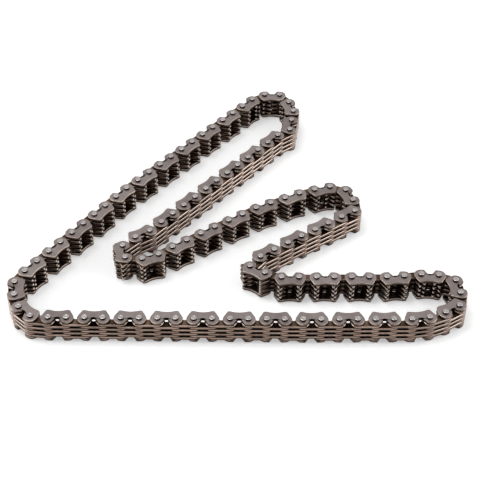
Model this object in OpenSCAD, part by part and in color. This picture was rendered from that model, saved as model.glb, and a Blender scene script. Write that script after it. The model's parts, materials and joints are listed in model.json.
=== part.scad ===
// Silent timing chain, lying on its side as an endless loop folded into three fingers.
// Toothed link plates and outer guide plates are threaded in alternating rows on round pins.
// The pins stand upright, the ends of the pins rest on the table, and the teeth face into the loop.
// Lengths are in millimetres and angles in degrees.

/* [Chain] */
// Distance between neighbouring pins
pitch = 6.35; // [6:0.05:8]
// Number of link plates side by side in an inner link
row = 4; // [2:1:5]
// Space between plates that lie on each other
plate_gap = 0.045; // [0.02:0.005:0.1]

/* [Plates] */
// Radius of the round eye at each pin
eye_r = 2.6; // [2.3:0.05:2.7]
// Thickness of a link plate
link_t = 0.98; // [0.6:0.02:1.2]
// Angle of the teeth's outer flanks to the tooth's own direction
tooth_flank = 30; // [28:0.5:33]
// Depth of the link plate's teeth below the pin centres
link_h = 3.95; // [3.5:0.05:4.1]
// Rounding of a tooth tip
tip_r = 0.35; // [0.2:0.05:0.45]
// Angle of the teeth's inner sides
inner_flank = 36; // [32:1:40]
// Radius of the hollow between a link plate's two teeth
crotch_r = 1.3; // [1:0.05:1.4]
// How far that hollow stays below the pin centres
crotch_top = 0.4; // [0.2:0.05:0.8]

/* [Guide plates] */
// Thickness of a guide plate
guide_t = 1; // [0.5:0.05:1.2]
// Angle of the guide plate's flanks to its own upright
guide_flank = 28; // [26:0.5:31]
// Depth of the guide plate's lower edge below the pin centres
guide_h = 3.72; // [3.3:0.02:4]
// Rounding of the guide plate's lower corners
corner_r = 0.5; // [0.3:0.05:0.8]
// Radius of the long hollow curve in the lower edge
dip_r = 9; // [7:0.5:14]
// Depth of that curve
dip = 0.55; // [0.2:0.05:0.7]
// Radius at the bottom of the notch in the guide plate's back
notch_r = 0.7; // [0.5:0.05:0.8]
// How far the centre of that radius lies behind the pin centres
notch_back = 0.6; // [0.4:0.05:0.8]
// Angle of the notch's flanks to the guide plate's own upright
notch_flank = 32; // [28:1:36]
// Rounding where the notch's flanks meet the back of the eyes
foot_r = 0.45; // [0.3:0.05:0.6]

/* [Pins] */
// Pin diameter
pin_d = 2.3; // [1.8:0.05:2.6]
// How far a pin stands out of the guide plates
pin_proud = 0.65; // [0.3:0.05:1]
// Bevel round each pin end
pin_bevel = 0.25; // [0.1:0.05:0.4]
// Radial room for the pin where it is riveted into a guide plate
rivet_room = 0.01; // [0.005:0.005:0.03]
// Radial room for the pin where a link plate turns on it
turn_room = 0.04; // [0.02:0.01:0.08]

/* [Hidden] */
fine = 48;

// The lay of the chain round its loop: how many links lie in a row, and the way they point.
// The links of the rise and the base lie straight, and their directions close the loop.
rise_links = 9;
base_links = 14;
LAY = [
    [1, 111], [1, 97], [1, 62], [rise_links, "rise"], [12, 50],
    [1, 33], [1, 0], [1, -53], [1, -74], [2, -98], [1, -142], [12, -130],
    [1, -145], [1, -133], [1, -78], [1, -6], [1, 22], [1, 39],
    [3, 36], [3, 35], [2, 28], [1, 27], [1, 21],
    [1, 17], [1, -17], [1, -67], [1, -87], [1, -146], [3, -145], [3, -144],
    [1, -127], [1, -32], [1, -21], [6, 1], [1, 5], [1, 9],
    [1, -3], [1, -23], [1, -82], [1, -100], [1, -147], [1, -157], [1, -171], [6, -179],
    [base_links, "base"], [1, 174], [1, 137]
];

// The stretches of chain that stay straight in themselves, each with the pin at which it begins
STRETCHES = [
    ["long_run", 94],
    ["left_run_1", 12], ["left_run_2", 16], ["left_run_3", 20],
    ["top_bend", 24],
    ["return_run_1", 31], ["return_run_2", 35], ["return_run_3", 39],
    ["inner_fold", 43],
    ["rising_run_1", 49], ["rising_run_2", 52],
    ["middle_bend", 55],
    ["falling_run_1", 64], ["falling_run_2", 67],
    ["lower_fold", 70],
    ["short_run_1", 73], ["short_run_2", 76],
    ["right_bend", 79],
    ["near_run_1", 88], ["near_run_2", 91]
];
KINDS = ["guide_plates", "link_plates", "pins"];

function node_name(s, k) = str(STRETCHES[s][0], "_", KINDS[k]);

// Directions of the rise and the base, the two sides of a triangle whose third side is all the rest
function way(angle) = [cos(angle), sin(angle)];
function total(list) = [for (v = list) 1] * list;
rest = total([for (r = LAY) if (is_num(r[1])) r[0] * pitch * way(r[1])]);
gap_length = norm(rest);
rise_length = rise_links * pitch;
base_length = base_links * pitch;
rise_turn = acos((rise_length^2 + gap_length^2 - base_length^2) / (2 * rise_length * gap_length));
rise_angle = atan2(-rest.y, -rest.x) - rise_turn;
base_way = -rest - rise_length * way(rise_angle);
base_angle = atan2(base_way.y, base_way.x);

// Direction of each link, and the place of each pin with the middle of the loop at the origin
function lay_angle(a) = a == "rise" ? rise_angle : a == "base" ? base_angle : a;
headings = [for (r = LAY) for (k = [1 : r[0]]) lay_angle(r[1])];
count = len(headings);
walk = [for (i = 0, p = [0, 0]; i < count; p = p + pitch * way(headings[i]), i = i + 1) p];
walk_x = [for (p = walk) p.x];
walk_y = [for (p = walk) p.y];
middle = [max(walk_x) + min(walk_x), max(walk_y) + min(walk_y)] / 2;

function wrap(i) = i % count;
function pin_at(i) = walk[wrap(i)] - middle;
function is_outer(i) = wrap(i) % 2 == 1;
function link_count(s) = wrap(STRETCHES[(s + 1) % len(STRETCHES)][1] - STRETCHES[s][1] + count);
function links_of(s) = [for (k = [0 : link_count(s) - 1]) STRETCHES[s][1] + k];

// Heights: the bottom guide plate is layer 0, inner link plates are odd layers, and the top guide plate is last
top_layer = 2 * row;
layer_step = link_t + plate_gap;
function layer_z(k) = k == 0 ? pin_proud : pin_proud + guide_t + plate_gap + (k - 1) * layer_step;
pin_length = layer_z(top_layer) + guide_t + pin_proud;

// A corner circle of radius r that touches the flank and reaches the depth h
function corner_x(h, r, flank) = pitch / 2 + (eye_r - r - (h - r) * sin(flank)) / cos(flank);
guide_x = corner_x(guide_h, corner_r, guide_flank);
tip_x = corner_x(link_h, tip_r, tooth_flank);
// The same circle on the inner side of a link plate's tooth
crotch_y = crotch_top + crotch_r;
inner_x = (crotch_r + tip_r + (link_h - tip_r - crotch_y) * sin(inner_flank)) / cos(inner_flank);
// A foot circle that touches the notch's flank and the back of the eye
foot_y = eye_r - foot_r;
foot_x = (notch_r + foot_r + (foot_y - notch_back) * sin(notch_flank)) / cos(notch_flank);

function mirrored(points) = [for (i = [len(points) - 1 : -1 : 0]) [-points[i].x, points[i].y]];
function on_circle(x, y, r, angle) = [x + r * cos(angle), y + r * sin(angle)];

// Points round the right half of each plate, teeth towards +Y
guide_side = [
    on_circle(0, -notch_back, notch_r, notch_flank),
    on_circle(foot_x, -foot_y, foot_r, notch_flank - 180),
    [foot_x, -eye_r],
    [pitch / 2, -eye_r],
    on_circle(pitch / 2, 0, eye_r, guide_flank),
    on_circle(guide_x, guide_h - corner_r, corner_r, guide_flank),
    [guide_x, guide_h]
];
link_side = [
    [pitch / 2, -eye_r],
    on_circle(pitch / 2, 0, eye_r, tooth_flank),
    on_circle(tip_x, link_h - tip_r, tip_r, tooth_flank),
    [tip_x, link_h],
    [inner_x, link_h],
    on_circle(inner_x, link_h - tip_r, tip_r, 180 - inner_flank),
    on_circle(0, crotch_y, crotch_r, -inner_flank)
];

module pair(x, y, r) {
    for (side = [-1, 1]) {
        translate([side * x, y]) circle(r, $fn = fine);
    }
}

// Guide plate: notched in its back, with a long hollow curve between its lower corners
module guide_outline() {
    difference() {
        union() {
            pair(pitch / 2, 0, eye_r);
            pair(guide_x, guide_h - corner_r, corner_r);
            pair(foot_x, -foot_y, foot_r);
            polygon(concat(guide_side, mirrored(guide_side)));
        }
        translate([0, guide_h - dip + dip_r]) circle(dip_r, $fn = fine);
        translate([0, -notch_back]) circle(notch_r, $fn = fine);
        pair(pitch / 2, 0, pin_d / 2 + rivet_room);
    }
}

// Link plate: straight back, two teeth and a round hollow between them
module link_outline() {
    difference() {
        union() {
            pair(pitch / 2, 0, eye_r);
            pair(tip_x, link_h - tip_r, tip_r);
            pair(inner_x, link_h - tip_r, tip_r);
            polygon(concat(link_side, mirrored(link_side)));
        }
        translate([0, crotch_y]) circle(crotch_r, $fn = fine);
        pair(pitch / 2, 0, pin_d / 2 + turn_room);
    }
}

// Places a plate between the pins i and i + 1, with its teeth towards the inside of the loop
module on_link(i, layer) {
    centre = (pin_at(i) + pin_at(i + 1)) / 2;
    translate([centre.x, centre.y, layer_z(layer)]) rotate(headings[wrap(i)] + 180) children();
}

// Guide plates of a stretch: one under and one over each outer link
module guide_plates(s) {
    color("#8b8178") {
        for (i = links_of(s)) {
            if (is_outer(i)) {
                for (layer = [0, top_layer]) on_link(i, layer) linear_extrude(guide_t) guide_outline();
            }
        }
    }
}

// Link plates of a stretch: inner links fill the odd layers, outer links the even ones between the guides
module link_plates(s) {
    color("#7a6d62") {
        for (i = links_of(s)) {
            for (layer = [is_outer(i) ? 2 : 1 : 2 : top_layer - 1]) {
                on_link(i, layer) linear_extrude(link_t) link_outline();
            }
        }
    }
}

// Pins of a stretch: two in each outer link, bevelled at both ends
module pins(s) {
    color("#b9b5b0") {
        for (i = links_of(s)) {
            if (is_outer(i)) {
                for (k = [i, i + 1]) translate(pin_at(k)) pin();
            }
        }
    }
}

module pin() {
    r = pin_d / 2;
    profile = [
        [0, 0], [r - pin_bevel, 0], [r, pin_bevel],
        [r, pin_length - pin_bevel], [r - pin_bevel, pin_length], [0, pin_length]
    ];
    rotate_extrude($fn = fine) polygon(profile);
}

for (s = [0 : len(STRETCHES) - 1]) {
    guide_plates(s);
    link_plates(s);
    pins(s);
}
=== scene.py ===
"""Looks of a silent timing chain lying on its side on a white table, one loop folded into three fingers."""
import json
import math

import bpy
import numpy as np
from mathutils import Matrix, Vector

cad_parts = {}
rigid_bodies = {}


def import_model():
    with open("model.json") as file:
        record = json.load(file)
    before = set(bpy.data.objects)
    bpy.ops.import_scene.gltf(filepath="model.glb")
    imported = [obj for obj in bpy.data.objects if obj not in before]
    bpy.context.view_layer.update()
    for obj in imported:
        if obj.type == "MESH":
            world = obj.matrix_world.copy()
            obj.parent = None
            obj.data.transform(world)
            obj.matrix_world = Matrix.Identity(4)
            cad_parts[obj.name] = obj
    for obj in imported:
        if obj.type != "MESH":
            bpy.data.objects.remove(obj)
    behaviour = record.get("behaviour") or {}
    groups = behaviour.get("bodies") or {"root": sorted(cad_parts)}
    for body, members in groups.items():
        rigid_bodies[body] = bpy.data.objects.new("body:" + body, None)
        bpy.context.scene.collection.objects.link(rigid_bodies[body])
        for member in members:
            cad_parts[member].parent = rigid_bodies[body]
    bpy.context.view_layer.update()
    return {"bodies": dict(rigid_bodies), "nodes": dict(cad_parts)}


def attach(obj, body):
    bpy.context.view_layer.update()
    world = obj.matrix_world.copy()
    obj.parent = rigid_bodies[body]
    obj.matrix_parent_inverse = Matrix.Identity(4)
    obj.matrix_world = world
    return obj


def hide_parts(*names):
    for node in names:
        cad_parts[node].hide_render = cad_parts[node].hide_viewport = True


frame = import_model()
# Sizes are given in millimetres, and this turns them to metres
MM = 0.001


# Camera
# A long lens looks down on the loop from the side of its straight run. Its place, lens and slight roll were
# worked out from the even spacing of the pins in the picture, whose width and height are picture_px.
picture_px = (477, 478)
focal_px = 1223.64
sensor_mm = 36.0
look_down = math.radians(43.076)
roll = math.radians(0.566)
camera_place = Vector((0.377, -357.79, 321.33)) * MM
camera_data = bpy.data.cameras.new("camera")
camera_data.sensor_width = sensor_mm
camera_data.lens = focal_px / max(picture_px) * sensor_mm
camera_data.clip_start = 0.01
camera_data.clip_end = 20
camera = bpy.data.objects.new("camera", camera_data)
forward = Vector((0, math.cos(look_down), -math.sin(look_down)))
level_up = Vector((0, math.sin(look_down), math.cos(look_down)))
level_right = Vector((1, 0, 0))
right = level_right * math.cos(roll) + level_up * math.sin(roll)
up = level_up * math.cos(roll) - level_right * math.sin(roll)
turn = Matrix((right, up, -forward)).transposed().to_4x4()
camera.matrix_world = Matrix.Translation(camera_place) @ turn
bpy.context.scene.collection.objects.link(camera)
bpy.context.scene.camera = camera


# Pins
# Hardened bearing-steel pins stand upright through the plates and are pressed into the guide plates. Their
# ends are faced off a little hollow and tumbled to a soft light grey, and their walls keep a dark oxide,
# deepened by painted shade that also covers the lower part of each end's rounded rim as a painted dark
# reflection.
pin_r = 1.15
rim_r = 0.26
face_r = 0.66
face_dip = 0.03
face_slope = 0.08
pin_sides = 24
# How many rings of faces on each side of the long wall's own ring are as dark as the wall: on the rim this
# is painted shade and a painted dark reflection
painted_shade_rings = 2


def hex_colour(text):
    """The linear colour of an sRGB hex value."""
    srgb = [int(text[i:i + 2], 16) / 255 for i in (1, 3, 5)]
    return [c / 12.92 if c <= 0.04045 else ((c + 0.055) / 1.055) ** 2.4 for c in srgb] + [1.0]


def add_node(owner, kind, links=(), **settings):
    """A shader node in a material or the world, with its settings made and its inputs linked to outputs."""
    node = owner.node_tree.nodes.new(kind)
    for name, value in settings.items():
        if hasattr(node, name):
            setattr(node, name, value)
        else:
            node.inputs[name.replace("_", " ")].default_value = value
    for name, source in links:
        owner.node_tree.links.new(source, node.inputs[name])
    return node


def solids_of(node):
    """Splits a CAD node's loose triangles into its solids, and gives each solid's own points in millimetres.
    Points in one place are merged, and the lowest point number spreads over every triangle until each solid
    has a single number."""
    mesh = frame["nodes"][node].data
    points = np.empty(len(mesh.vertices) * 3)
    mesh.vertices.foreach_get("co", points)
    points = points.reshape(-1, 3) / MM
    corners = np.empty(len(mesh.loops), int)
    mesh.loops.foreach_get("vertex_index", corners)
    places, which = np.unique(np.round(points, 3), axis=0, return_inverse=True)
    triangles = which.ravel()[corners].reshape(-1, 3)
    label = np.arange(len(places))
    while True:
        lowest = label[triangles].min(axis=1)
        spread = label.copy()
        np.minimum.at(spread, triangles.ravel(), np.repeat(lowest, 3))
        spread = spread[spread]
        if (spread == label).all():
            break
        label = spread
    return [places[label == k] for k in np.unique(label)]


def revolve(profile, around):
    """A profile of (radius, height) from axis to axis, turned about Z. Each point between its two ends makes
    a ring at (radius * cos a, radius * sin a, height), and a fan of triangles closes each end."""
    angle = np.arange(around) / around * 2 * np.pi
    ring = np.stack([np.cos(angle), np.sin(angle)], 1)
    body = profile[1:-1]
    points = np.concatenate([
        np.stack([np.outer(body[:, 0], ring[:, 0]), np.outer(body[:, 0], ring[:, 1]),
                  np.repeat(body[:, 1:], around, 1)], 2).reshape(-1, 3),
        [[0, 0, profile[0, 1]], [0, 0, profile[-1, 1]]]])
    j = np.arange(around)
    k = (j + 1) % around
    rows = np.arange(len(body) - 1)[:, None] * around
    sides = np.stack([rows + j, rows + k, rows + around + k, rows + around + j], 2).reshape(-1, 4)
    last = (len(body) - 1) * around
    none = np.full(around, -1)
    low = np.stack([np.full(around, len(points) - 2), k, j, none], 1)
    high = np.stack([np.full(around, len(points) - 1), last + j, last + k, none], 1)
    return points, np.concatenate([sides, low, high])


def repeat_shape(shape, turns, places):
    """One shape at each place, turned by that place's 2-D turn: its points times the turn, plus the place."""
    points, faces = shape
    flat = np.einsum("nij,vj->nvi", turns, points[:, :2]) + places[:, None, :2]
    height = points[None, :, 2] + places[:, None, 2]
    everywhere = np.concatenate([flat, height[..., None]], 2).reshape(-1, 3)
    step = (np.arange(len(places)) * len(points))[:, None, None]
    return everywhere, np.where(faces[None] < 0, -1, faces[None] + step).reshape(-1, faces.shape[1])


def make_piece(name, points, faces, materials, material_of_face, smooth, tone_of_corner):
    """A piece from rows of points in millimetres and rows of faces, each row filled up with -1. Each face has
    a material's number and each of its corners a tone."""
    size = (faces >= 0).sum(axis=1)
    corners = faces[faces >= 0]
    mesh = bpy.data.meshes.new(name)
    mesh.vertices.add(len(points))
    mesh.vertices.foreach_set("co", (points * MM).ravel())
    mesh.loops.add(len(corners))
    mesh.loops.foreach_set("vertex_index", corners)
    mesh.polygons.add(len(faces))
    mesh.polygons.foreach_set("loop_start", np.concatenate([[0], np.cumsum(size)[:-1]]))
    mesh.polygons.foreach_set("use_smooth", smooth)
    mesh.polygons.foreach_set("material_index", material_of_face)
    tone = mesh.attributes.new("tone", "FLOAT", "CORNER")
    tone.data.foreach_set("value", tone_of_corner)
    mesh.update(calc_edges=True)
    mesh.validate()
    for material in materials:
        mesh.materials.append(material)
    piece = bpy.data.objects.new(name, mesh)
    bpy.context.scene.collection.objects.link(piece)
    return piece


def stand_for(piece, stretch, kind):
    """The piece takes the place of a CAD node and moves with its stretch of chain."""
    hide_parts(stretch + "_" + kind)
    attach(piece, stretch)


def pin_steel(name, low, high, rough_low, rough_high):
    """Bearing steel: a metal between a low and a high colour, with soft stains and a tone for each pin."""
    material = bpy.data.materials.new(name)
    material.use_nodes = True
    shader = material.node_tree.nodes["Principled BSDF"]
    shader.inputs["Metallic"].default_value = 1.0
    place = add_node(material, "ShaderNodeTexCoord")
    # Stains from handling are a little smaller than a pin's end
    stain_mm = 0.8
    stain = add_node(material, "ShaderNodeTexNoise", [("Vector", place.outputs["Object"])],
                     Scale=1 / (stain_mm * MM), Detail=3.0)
    tone = add_node(material, "ShaderNodeAttribute", attribute_name="tone")
    share = add_node(material, "ShaderNodeMath", [(0, stain.outputs["Fac"]), (1, tone.outputs["Fac"])],
                     operation="ADD")
    colour = add_node(material, "ShaderNodeValToRGB", [("Fac", share.outputs["Value"])])
    colour.color_ramp.elements[0].position = 0.35
    colour.color_ramp.elements[0].color = hex_colour(low)
    colour.color_ramp.elements[1].position = 1.0
    colour.color_ramp.elements[1].color = hex_colour(high)
    rough = add_node(material, "ShaderNodeMapRange", [("Value", stain.outputs["Fac"])],
                     To_Min=rough_low, To_Max=rough_high)
    # The real grain of tumbling is near 0.02 mm, too fine to show, so it is drawn coarser
    grain_mm = 0.12
    grain = add_node(material, "ShaderNodeTexNoise", [("Vector", place.outputs["Object"])],
                     Scale=1 / (grain_mm * MM))
    bump = add_node(material, "ShaderNodeBump", [("Height", grain.outputs["Fac"])],
                    Strength=0.15, Distance=0.02 * MM)
    tree = material.node_tree.links
    tree.new(colour.outputs["Color"], shader.inputs["Base Color"])
    tree.new(rough.outputs["Result"], shader.inputs["Roughness"])
    tree.new(bump.outputs["Normal"], shader.inputs["Normal"])
    return material


stretches = list(frame["bodies"])
pins_of = {}
for stretch in stretches:
    solids = solids_of(stretch + "_pins")
    pins_of[stretch] = np.array([(s.max(0) + s.min(0)) / 2 for s in solids])
all_pins = np.concatenate(list(pins_of.values()))
# All pins are alike, so any one gives the heights of both ends
pin_low = solids[0][:, 2].min()
pin_high = solids[0][:, 2].max()

# The end of a pin: a flat disc, a soft slope up from it, a flat ring, and most of a quarter circle down to
# the full width
round_over = np.radians([15, 40, 65, 90])
rim = np.stack([pin_r - rim_r + rim_r * np.sin(round_over), -rim_r + rim_r * np.cos(round_over)], 1)
disc = np.array([[0, -face_dip], [face_r - face_slope, -face_dip], [face_r, 0.0]])
end = np.concatenate([disc, rim])
upper = end * [1, 1] + [0, pin_high]
lower = end * [1, -1] + [0, pin_low]
pin_shape = revolve(np.concatenate([lower, upper[::-1]]), pin_sides)
ring_of_face = np.arange(len(pin_shape[1])) // pin_sides
wall_ring = len(lower) - 2
# Faces near the wall take the dark steel: oxide and painted shade on the wall, a painted dark reflection on
# the rim
on_oxide_or_painted_shade = (np.abs(ring_of_face - wall_ring) <= painted_shade_rings).astype(int)
# Tumbled bare steel: a soft light grey disc with a bright glint on its rim
pin_end = pin_steel("tumbled_bearing_steel", "#BCB6B4", "#D2CDCB", rough_low=0.2, rough_high=0.34)
# Oxidised steel: nearly black brown, which sets the bright end off from the plate round it. It is darkened
# further as painted shade, and on the rim it stands for a painted dark reflection.
pin_oxide_and_painted_shade = pin_steel("oxide_and_painted_shade_bearing_steel", "#22130D", "#321E15", rough_low=0.3, rough_high=0.4)
draw = np.random.default_rng(7)
for stretch in stretches:
    spots = pins_of[stretch] * [1, 1, 0]
    spin = draw.uniform(0, 2 * np.pi, len(spots))
    turns = np.stack([np.cos(spin), -np.sin(spin), np.sin(spin), np.cos(spin)], 1).reshape(-1, 2, 2)
    points, faces = repeat_shape(pin_shape, turns, spots)
    tone = np.repeat(draw.uniform(0, 0.4, len(spots)), (pin_shape[1] >= 0).sum())
    piece = make_piece(stretch + "_pin_set", points, faces, [pin_end, pin_oxide_and_painted_shade],
                       np.tile(on_oxide_or_painted_shade, len(spots)), np.ones(len(faces), bool), tone)
    stand_for(piece, stretch, "pins")


# Link plates
# Blanked from tempered strip: a straight back, two teeth and a round hollow between them. The press leaves
# a rolled upper edge, a bright cut wall and a dark torn one under it, and the colour adds a painted highlight
# on the rolled edge and painted shade on the torn band. Backs are rubbed bright and the sprockets wear the
# tooth tips bare, while the flanks, darker away from their tips, and the faces inside the stack are painted
# in shade.
pitch = 6.35
eye_r = 2.6
tooth_flank = math.radians(30)
link_t = 0.98
link_h = 3.95
tip_r = 0.35
inner_flank = math.radians(36)
crotch_r = 1.3
crotch_top = 0.4
crotch_y = crotch_top + crotch_r
link_bore = 1.33
link_roll = 0.2
# Height at which the layers begin, and from one layer to the next
first_layer = 0.67
layer_step = 1.025
# The layers count from 0 to 8, and the outer ones lie more than inner_reach layers from the middle one
middle_layer = 4
inner_reach = 2.5
# A back is fully rubbed up to the depth back_from, and not at all past back_to. A tooth is rubbed
# tip_rub_and_light at its tip and not at all from tip_reach above it, and an outline point at
# rub_and_light_share of each flank ends that. The last bare_tip of a tooth's depth is worn bare, and flat
# faces on the outside are rubbed flat_rub_and_light. This rubbing is wear and painted light together: the
# flanks darken away from the tips, and flat faces inside the stack stay dark, as painted shade.
back_from = -0.5
back_to = 0.4
rub_and_light_share = 0.2
tip_rub_and_light = 0.9
tip_reach = 0.4
bare_tip = 0.1
flat_rub_and_light = 0.6
# How much of a plate's tone comes from rubbing and painted light, and how much from its own chance
rub_and_light_weight = 0.6
chance_weight = 0.4


def arc(x, y, r, start, stop, count):
    """Points (x + r * cos a, y + r * sin a) from one angle to another, in degrees, the last one left out."""
    a = np.radians(np.linspace(start, stop, count, endpoint=False))
    return np.stack([x + r * np.cos(a), y + r * np.sin(a)], 1)


def corner_x(h, r, flank):
    """How far out a corner circle of radius r sits that touches the flank and reaches the depth h: half the
    pitch + (eye_r - r - (h - r) * sin flank) / cos flank."""
    return pitch / 2 + (eye_r - r - (h - r) * math.sin(flank)) / math.cos(flank)


def plate_shape(edge, split, bore, bore_sides, inset, level):
    """A blanked plate from its upper face at level[0] down to its lower face at level[-1]. The right half's
    edge and its mirror image make the outline, and each ring of the rim is the outline moved in by inset at a
    level. Each flat face is cut in two along the line through both bores, from the edge's point number split
    to its mirror point. Faces are numbered 0 for flat and 1 for the rim and the bores' walls."""
    outline = np.concatenate([edge, (edge[::-1] * [-1, 1])[1:-1]])
    n = len(outline)
    ahead = np.roll(outline, -1, 0) - np.roll(outline, 1, 0)
    out = np.stack([-ahead[:, 1], ahead[:, 0]], 1) / np.linalg.norm(ahead, axis=1)[:, None]
    rings = (outline[None] - out[None] * np.array(inset)[:, None, None]).reshape(-1, 2)
    angle = np.arange(bore_sides) / bore_sides * 2 * np.pi
    circle = bore * np.stack([np.cos(angle), np.sin(angle)], 1)
    circles = np.tile(np.concatenate([circle + [pitch / 2, 0], circle - [pitch / 2, 0]]), (2, 1))
    bore_level = np.repeat([level[0], level[-1]], 2 * bore_sides)
    points = np.concatenate([np.concatenate([rings, np.repeat(level, n)[:, None]], 1),
                             np.concatenate([circles, bore_level[:, None]], 1)])
    first = len(level) * n
    j = np.arange(n)
    k = (j + 1) % n
    rows = np.arange(len(level) - 1)[:, None] * n
    rim = np.stack([rows + n + k, rows + n + j, rows + j, rows + k], 2).reshape(-1, 4)
    j = np.arange(bore_sides)
    k = (j + 1) % bore_sides
    upper = first + np.array([[0], [bore_sides]])
    lower = upper + 2 * bore_sides
    walls = np.stack([lower + k, lower + j, upper + j, upper + k], 2).reshape(-1, 4)
    # Once round each half of a flat face: along the outline, then back past both bores
    toothed_bore = np.arange(bore_sides // 2, -1, -1)
    back_bore = -np.arange(bore_sides // 2 + 1) % bore_sides
    toothed = [np.arange(split, -1, -1), np.arange(n - 1, n - split - 1, -1),
               first + bore_sides + toothed_bore, first + toothed_bore]
    back = [np.arange(n - split, split - 1, -1), first + back_bore, first + bore_sides + back_bore]
    flats = []
    for half in (np.concatenate(toothed), np.concatenate(back)):
        on_rim = half < first
        flats += [half, np.where(on_rim, half + first - n, half + 2 * bore_sides)[::-1]]
    width = max(len(flat) for flat in flats)
    faces = np.full((len(flats) + len(rim) + len(walls), width), -1)
    for row, flat in enumerate(flats):
        faces[row, :len(flat)] = flat
    faces[len(flats):, :4] = np.concatenate([rim, walls])
    return points, faces, np.minimum(np.arange(len(faces)) // len(flats), 1)


def link_edge():
    """Right half of the outline, teeth towards +Y: from the middle of the hollow up the inner flank, over the
    tip and down the outer flank, each a straight line, then round the eye to the middle of the back."""
    tip_x = corner_x(link_h, tip_r, tooth_flank)
    inner_rise = (link_h - tip_r - crotch_y) * math.sin(inner_flank)
    inner_x = (crotch_r + tip_r + inner_rise) / math.cos(inner_flank)
    a = math.degrees(inner_flank)
    f = math.degrees(tooth_flank)
    hollow = arc(0, crotch_y, crotch_r, -90, -a, 2)
    flank_start = arc(0, crotch_y, crotch_r, -a, 0, 1)
    inner_tip = arc(inner_x, link_h - tip_r, tip_r, 180 - a, 90, 2)
    rub_and_light_end = flank_start[0] * rub_and_light_share + inner_tip[0] * (1 - rub_and_light_share)
    outer_tip = arc(tip_x, link_h - tip_r, tip_r, 90, f, 2)
    eye = arc(pitch / 2, 0, eye_r, f, -90, 5)
    outer_rub_and_light_end = outer_tip[1] * (1 - rub_and_light_share) + eye[0] * rub_and_light_share
    back = [[pitch / 2, -eye_r], [0, -eye_r]]
    return np.concatenate([hollow, flank_start, [rub_and_light_end], inner_tip, outer_tip, [outer_rub_and_light_end], eye, back])


def plate_steel(name, low, high, rough_low, rough_high, cut_from=0.34, cut_to=0.72):
    """Tempered strip steel with a brown-grey oxide that differs from plate to plate and is blotched by oil.
    The colours of a dark and of a bright plate are given for the torn, the cut and the rolled band of its
    thickness, from below; the torn band's dark is partly painted shade and the rolled band's light partly a
    painted highlight. The cut band reaches from cut_from to cut_to of a layer."""
    material = bpy.data.materials.new(name)
    material.use_nodes = True
    shader = material.node_tree.nodes["Principled BSDF"]
    shader.inputs["Metallic"].default_value = 1.0
    place = add_node(material, "ShaderNodeTexCoord")
    tone = add_node(material, "ShaderNodeAttribute", attribute_name="tone")
    # Blotches of oil are about as wide as a pin
    blotch_mm = 2.2
    blotch = add_node(material, "ShaderNodeTexNoise", [("Vector", place.outputs["Object"])],
                      Scale=1 / (blotch_mm * MM), Detail=4.0, Roughness=0.6)
    share = add_node(material, "ShaderNodeMath", [(0, blotch.outputs["Fac"]), (1, tone.outputs["Fac"])],
                     operation="ADD")
    mixed = add_node(material, "ShaderNodeMapRange", [("Value", share.outputs["Value"])],
                     From_Min=0.6, From_Max=1.6)
    # The height within a layer, from 0 at its bottom to 1, picks the band, so painted shade lies low in each
    # layer and a painted highlight at its top
    axes = add_node(material, "ShaderNodeSeparateXYZ", [("Vector", place.outputs["Object"])])
    layers = add_node(material, "ShaderNodeMapRange", [("Value", axes.outputs["Z"])], clamp=False,
                      From_Min=first_layer * MM, From_Max=(first_layer + layer_step) * MM)
    height = add_node(material, "ShaderNodeMath", [(0, layers.outputs["Result"])], operation="FRACT")
    torn_and_shade_fade, rolled_and_highlight_fade = 0.08, 0.1
    bands = []
    for colours in (low, high):
        band = add_node(material, "ShaderNodeValToRGB", [("Fac", height.outputs["Value"])])
        stops = band.color_ramp.elements
        for position in (cut_from - torn_and_shade_fade, cut_from, cut_to, cut_to + rolled_and_highlight_fade):
            stops.new(position)
        for k, stop in enumerate(stops):
            stop.color = hex_colour(colours[k // 2])
        bands.append(band)
    # A colour mix takes its two colours at sockets 6 and 7, and gives the result at output 2
    mix = add_node(material, "ShaderNodeMix",
                   [("Factor", mixed.outputs["Result"]), (6, bands[0].outputs["Color"]),
                    (7, bands[1].outputs["Color"])], data_type="RGBA")
    rough = add_node(material, "ShaderNodeMapRange", [("Value", blotch.outputs["Fac"])],
                     To_Min=rough_low, To_Max=rough_high)
    # The real grit of tumbling is near 0.05 mm, too fine to show, so it is drawn coarser
    grit_mm = 0.25
    grit = add_node(material, "ShaderNodeTexNoise", [("Vector", place.outputs["Object"])],
                    Scale=1 / (grit_mm * MM), Detail=2.0)
    bump = add_node(material, "ShaderNodeBump", [("Height", grit.outputs["Fac"])],
                    Strength=0.25, Distance=0.03 * MM)
    tree = material.node_tree.links
    tree.new(mix.outputs[2], shader.inputs["Base Color"])
    tree.new(rough.outputs["Result"], shader.inputs["Roughness"])
    tree.new(bump.outputs["Normal"], shader.inputs["Normal"])
    return material


def plate_places(node):
    """The 2-D turn and the place of each plate of a CAD node: its middle and its lowest height.
    The two pins whose centres have most of the solid's points close by pass through the plate and give its
    line, and the side that reaches furthest from that line is the toothed one."""
    close_by = link_bore + 0.1
    middles, turns, lows = [], [], []
    for solid in solids_of(node):
        near = np.linalg.norm(solid[:, None, :2] - all_pins[None, :, :2], axis=2) < close_by
        first, second = all_pins[np.argsort(-near.sum(0), kind="stable")[:2], :2]
        along = (second - first) / np.linalg.norm(second - first)
        across = np.array([-along[1], along[0]])
        reach = (solid[:, :2] - first) @ across
        if reach.max() < -reach.min():
            along, across = -along, -across
        middles.append((first + second) / 2)
        turns.append(np.stack([along, across], 1))
        lows.append(solid[:, 2].min())
    return np.array(turns), np.concatenate([np.array(middles), np.array(lows)[:, None]], 1)


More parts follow.
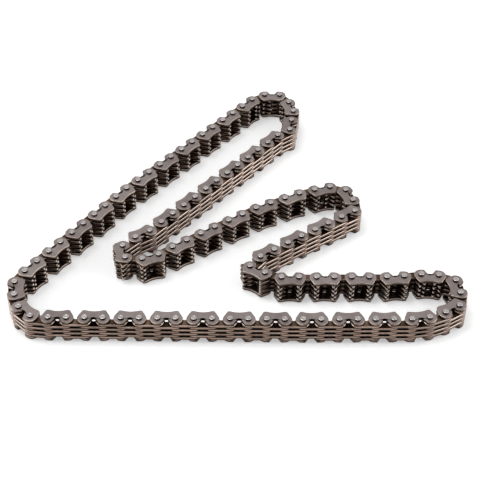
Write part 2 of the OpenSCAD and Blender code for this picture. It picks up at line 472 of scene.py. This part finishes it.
def plate_set(stretch, kind, shape, rubbed_and_lit, materials):
    """All plates of one CAD node as one piece. A corner's tone is rub_and_light_weight * how far it is rubbed
    and lit + chance_weight * the plate's own chance. Flat faces are rubbed evenly on the outer layers, and
    stay dark inside the stack, as painted shade between the plates."""
    turns, places = plate_places(stretch + "_" + kind)
    points, faces = repeat_shape(shape[:2], turns, places)
    corners = shape[1][shape[1] >= 0]
    on_flat = np.repeat(shape[2] == 0, (shape[1] >= 0).sum(axis=1))
    layer = (places[:, 2] - first_layer) / layer_step
    outer = np.abs(layer - middle_layer) > inner_reach
    rubbed_and_lit_here = np.where(on_flat, flat_rub_and_light * outer[:, None], rubbed_and_lit[corners])
    chance = draw.uniform(0, 1, len(places))
    tone = (rub_and_light_weight * rubbed_and_lit_here + chance_weight * chance[:, None]).ravel()
    part = np.tile(shape[2], len(places))
    piece = make_piece(stretch + "_" + kind + "_set", points, faces, materials, part, part > 0, tone)
    stand_for(piece, stretch, kind)


# The outline's point on the outer side of the eye, nearly in line with both bores
link_split = 10
# One chamfer stands for the rolled edge, and the bores, which the pins hide, have few sides, because
# hundreds of these plates lie in the chain
link_bore_sides = 6
link_shape = plate_shape(link_edge(), link_split, link_bore, link_bore_sides,
                         [link_roll, 0, 0], [link_t, link_t - link_roll, 0])
depth = link_shape[0][:, 1]
# How far each point is rubbed and lit: wear on backs and tips, and painted shade down the flanks
back_rubbed_and_lit = (back_to - depth) / (back_to - back_from)
tip_rubbed_and_lit = tip_rub_and_light * (1 - (link_h - depth) / tip_reach)
link_rubbed_and_lit = np.clip(np.maximum(back_rubbed_and_lit, tip_rubbed_and_lit), 0, 1)
# Faces of the rim with all four corners at a tooth's tip are bare, and numbered 2
on_tip = (link_shape[2] == 1) & (depth[link_shape[1][:, :4]] > link_h - bare_tip).all(axis=1)
link_shape[2][on_tip] = 2
# Oiled tempered strip: a deep brown that lets only the outermost faces show as warm grey, while the faces
# inside the stack stay dark as painted shade
link_face = plate_steel("tempered_link_steel", ["#1A0A04"] * 3, ["#8F7766"] * 3,
                        rough_low=0.3, rough_high=0.42)
# Its sheared wall: a tan line under a bright rolled edge with a painted highlight, and a dark line below of
# painted shade, so the stack shows striped
link_side = plate_steel("sheared_link_edge_and_painted_light", ["#180A05", "#301D13", "#8B786A"],
                        ["#2E170B", "#A88B7B", "#E2D0C3"], rough_low=0.26, rough_high=0.36, cut_from=0.42)
# Bare steel worn by the sprockets, lightened into a painted glint on each tooth, so a run of teeth shows as
# dotted lines
worn_tip_and_glint = plate_steel("worn_tooth_tip_and_painted_glint", ["#2C1E16", "#B5A89D", "#8C8076"],
                       ["#2C1E16", "#E8E0D8", "#BFB3A9"], rough_low=0.25, rough_high=0.35, cut_from=0.42)
for stretch in stretches:
    plate_set(stretch, "link_plates", link_shape, link_rubbed_and_lit,
              [link_face, link_side, worn_tip_and_glint])


# Guide plates
# Plates pressed onto the pins on the outside of every other link, which keep the chain on its sprockets.
# Each is blanked from strip and tumbled, with a wide notch in its back and a long hollow in its lower edge.
guide_t = 1.0
guide_flank = math.radians(28)
guide_h = 3.72
corner_r = 0.75
dip_r = 9.0
dip = 0.55
notch_r = 0.7
notch_back = 0.6
notch_flank = math.radians(32)
foot_r = 0.45
guide_bore = 1.175
guide_roll = 0.2
# The notch's painted shade, where its edge is left unrubbed, is taken to reach this far to each side of the
# plate's middle and this far forward
notch_reach = 2.5
notch_front = 0.5


def guide_edge():
    """Right half of the outline, lower edge towards +Y: from the middle of the long hollow by the corner, the
    eye and the foot into the notch, as arcs that touch the straight lines between them."""
    dip_y = guide_h - dip + dip_r
    dip_end = math.acos((dip_y - guide_h) / dip_r)
    corner = corner_x(guide_h, corner_r, guide_flank)
    foot_y = eye_r - foot_r
    foot_x = (notch_r + foot_r + (foot_y - notch_back) * math.sin(notch_flank)) / math.cos(notch_flank)
    f = math.degrees(guide_flank)
    v = math.degrees(notch_flank)
    return np.concatenate([
        arc(0, dip_y, dip_r, -90, -90 + math.degrees(dip_end), 4),
        [[dip_r * math.sin(dip_end), guide_h]],
        arc(corner, guide_h - corner_r, corner_r, 90, f, 3),
        arc(pitch / 2, 0, eye_r, f, -90, 10),
        arc(foot_x, -foot_y, foot_r, -90, v - 180, 2),
        arc(foot_x, -foot_y, foot_r, v - 180, v, 1),
        arc(0, -notch_back, notch_r, v, 90, 3),
        [[0, notch_r - notch_back]]])


# The outline's point on the outer side of the eye, nearly in line with both bores
guide_split = 10
guide_bore_sides = 16
over = np.radians([90, 45, 0])
guide_inset = list(guide_roll * (1 - np.cos(over))) + [0]
guide_level = list(guide_t - guide_roll * (1 - np.sin(over))) + [0]
guide_shape = plate_shape(guide_edge(), guide_split, guide_bore, guide_bore_sides, guide_inset, guide_level)
# The notch's edge is left dark as painted shade, and the rest of the edge is rubbed bright
beside = np.abs(guide_shape[0][:, 0])
forth = guide_shape[0][:, 1]
guide_rubbed_and_lit = np.where((beside < notch_reach) & (forth < notch_front), 0.0, 1.0)
# Tumbled strip: an even brown-grey with a dull sheen and faint oil blotches
guide_face = plate_steel("tumbled_guide_steel", ["#8B7E7B"] * 3, ["#B0A5A1"] * 3,
                         rough_low=0.28, rough_high=0.38)
# Its sheared wall: dark as painted shade, with a thin painted highlight under the rolled edge that draws the
# plate's outline
guide_side = plate_steel("sheared_guide_edge_and_painted_light", ["#140A06", "#3C2C23", "#5C4E44"],
                         ["#28160D", "#A8968A", "#BEAFA4"], rough_low=0.3, rough_high=0.4,
                         cut_from=0.58, cut_to=0.74)
for stretch in stretches:
    plate_set(stretch, "guide_plates", guide_shape, guide_rubbed_and_lit, [guide_face, guide_side])


# Table and light
# A matt white table that fades into a white room, under a soft light from above and two wider ones at the
# sides.
# Half the table's side, in metres
table_half = 2.0
square = [(-table_half, -table_half, 0), (table_half, -table_half, 0),
          (table_half, table_half, 0), (-table_half, table_half, 0)]
table_mesh = bpy.data.meshes.new("table")
table_mesh.from_pydata(square, [], [(0, 1, 2, 3)])
table = bpy.data.objects.new("table", table_mesh)
bpy.context.scene.collection.objects.link(table)
# Matt white laminate: soft shadows and no reflections
white = bpy.data.materials.new("white_table")
white.use_nodes = True
laminate = white.node_tree.nodes["Principled BSDF"]
laminate.inputs["Base Color"].default_value = (0.9, 0.9, 0.9, 1)
laminate.inputs["Roughness"].default_value = 0.9
seen = add_node(white, "ShaderNodeLightPath")
shown = add_node(white, "ShaderNodeMath",
                 [(0, seen.outputs["Is Camera Ray"]), (1, seen.outputs["Is Glossy Ray"])],
                 operation="MAXIMUM")
# Near the chain the table's own white is low, so that the shadow shows. From 0.2 m to 0.8 m away it rises
# to 1, so that the table fades into the room.
spot = add_node(white, "ShaderNodeTexCoord")
away = add_node(white, "ShaderNodeVectorMath", [(0, spot.outputs["Object"])], operation="LENGTH")
fade = add_node(white, "ShaderNodeMapRange", [("Value", away.outputs["Value"])],
                From_Min=0.2, From_Max=0.8, To_Min=0.38, To_Max=1.0)
own_white = add_node(white, "ShaderNodeMath", [(0, shown.outputs["Value"]), (1, fade.outputs["Result"])],
                     operation="MULTIPLY")
glow = add_node(white, "ShaderNodeEmission", [("Strength", own_white.outputs["Value"])], Color=(1, 1, 1, 1))
both = add_node(white, "ShaderNodeAddShader", [(0, laminate.outputs[0]), (1, glow.outputs[0])])
white.node_tree.links.new(both.outputs[0], white.node_tree.nodes["Material Output"].inputs["Surface"])
table_mesh.materials.append(white)

world = bpy.data.worlds.new("white_room")
bpy.context.scene.world = world
world.use_nodes = True
sky = world.node_tree.nodes["Background"]
sky.inputs["Color"].default_value = (1, 1, 1, 1)
# In the metal the room shows brightest low down at its back, plain above, and dark at its unlit front,
# where the picture is taken from. Each stop is (how far towards the front from 0 to 1, the room's strength).
way = add_node(world, "ShaderNodeTexCoord")
front = add_node(world, "ShaderNodeVectorMath", [(0, way.outputs["Generated"])], operation="DOT_PRODUCT")
front.inputs[1].default_value = (0, -math.cos(look_down), math.sin(look_down))
facing = add_node(world, "ShaderNodeMapRange", [("Value", front.outputs["Value"])],
                  From_Min=-1.0, From_Max=1.0)
room = add_node(world, "ShaderNodeValToRGB", [("Fac", facing.outputs["Result"])])
room_stops = [(0.4, 0.74), (0.55, 0.62), (0.87, 0.6), (0.98, 0.25)]
for position, strength in room_stops[1:3]:
    room.color_ramp.elements.new(position)
for stop, (position, strength) in zip(room.color_ramp.elements, room_stops):
    stop.position = position
    stop.color = (strength, strength, strength, 1)
# The camera sees plain white, metal sees this room, and everything else gets an even fill
path = add_node(world, "ShaderNodeLightPath")
fill = add_node(world, "ShaderNodeMix",
                [("Factor", path.outputs["Is Glossy Ray"]), ("B", room.outputs["Color"])], A=0.35)
backdrop = add_node(world, "ShaderNodeMix",
                    [("Factor", path.outputs["Is Camera Ray"]), ("A", fill.outputs["Result"])], B=1.0)
world.node_tree.links.new(backdrop.outputs["Result"], sky.inputs["Strength"])


def soft_light(name, place, size, power):
    """A square area light of a size and place in metres, turned to shine on the middle of the table."""
    data = bpy.data.lights.new(name, "AREA")
    data.size = size
    data.energy = power
    lamp = bpy.data.objects.new(name, data)
    lamp.location = place
    lamp.rotation_euler = (-Vector(place)).to_track_quat("-Z", "Y").to_euler()
    bpy.context.scene.collection.objects.link(lamp)


soft_light("overhead", (-0.25, 0.1, 1.2), size=0.5, power=4.0)
soft_light("left_side", (-0.8, -0.05, 0.43), size=0.9, power=4.0)
soft_light("right_side", (0.8, -0.05, 0.43), size=0.9, power=4.0)

bpy.context.scene.view_settings.view_transform = "Standard"
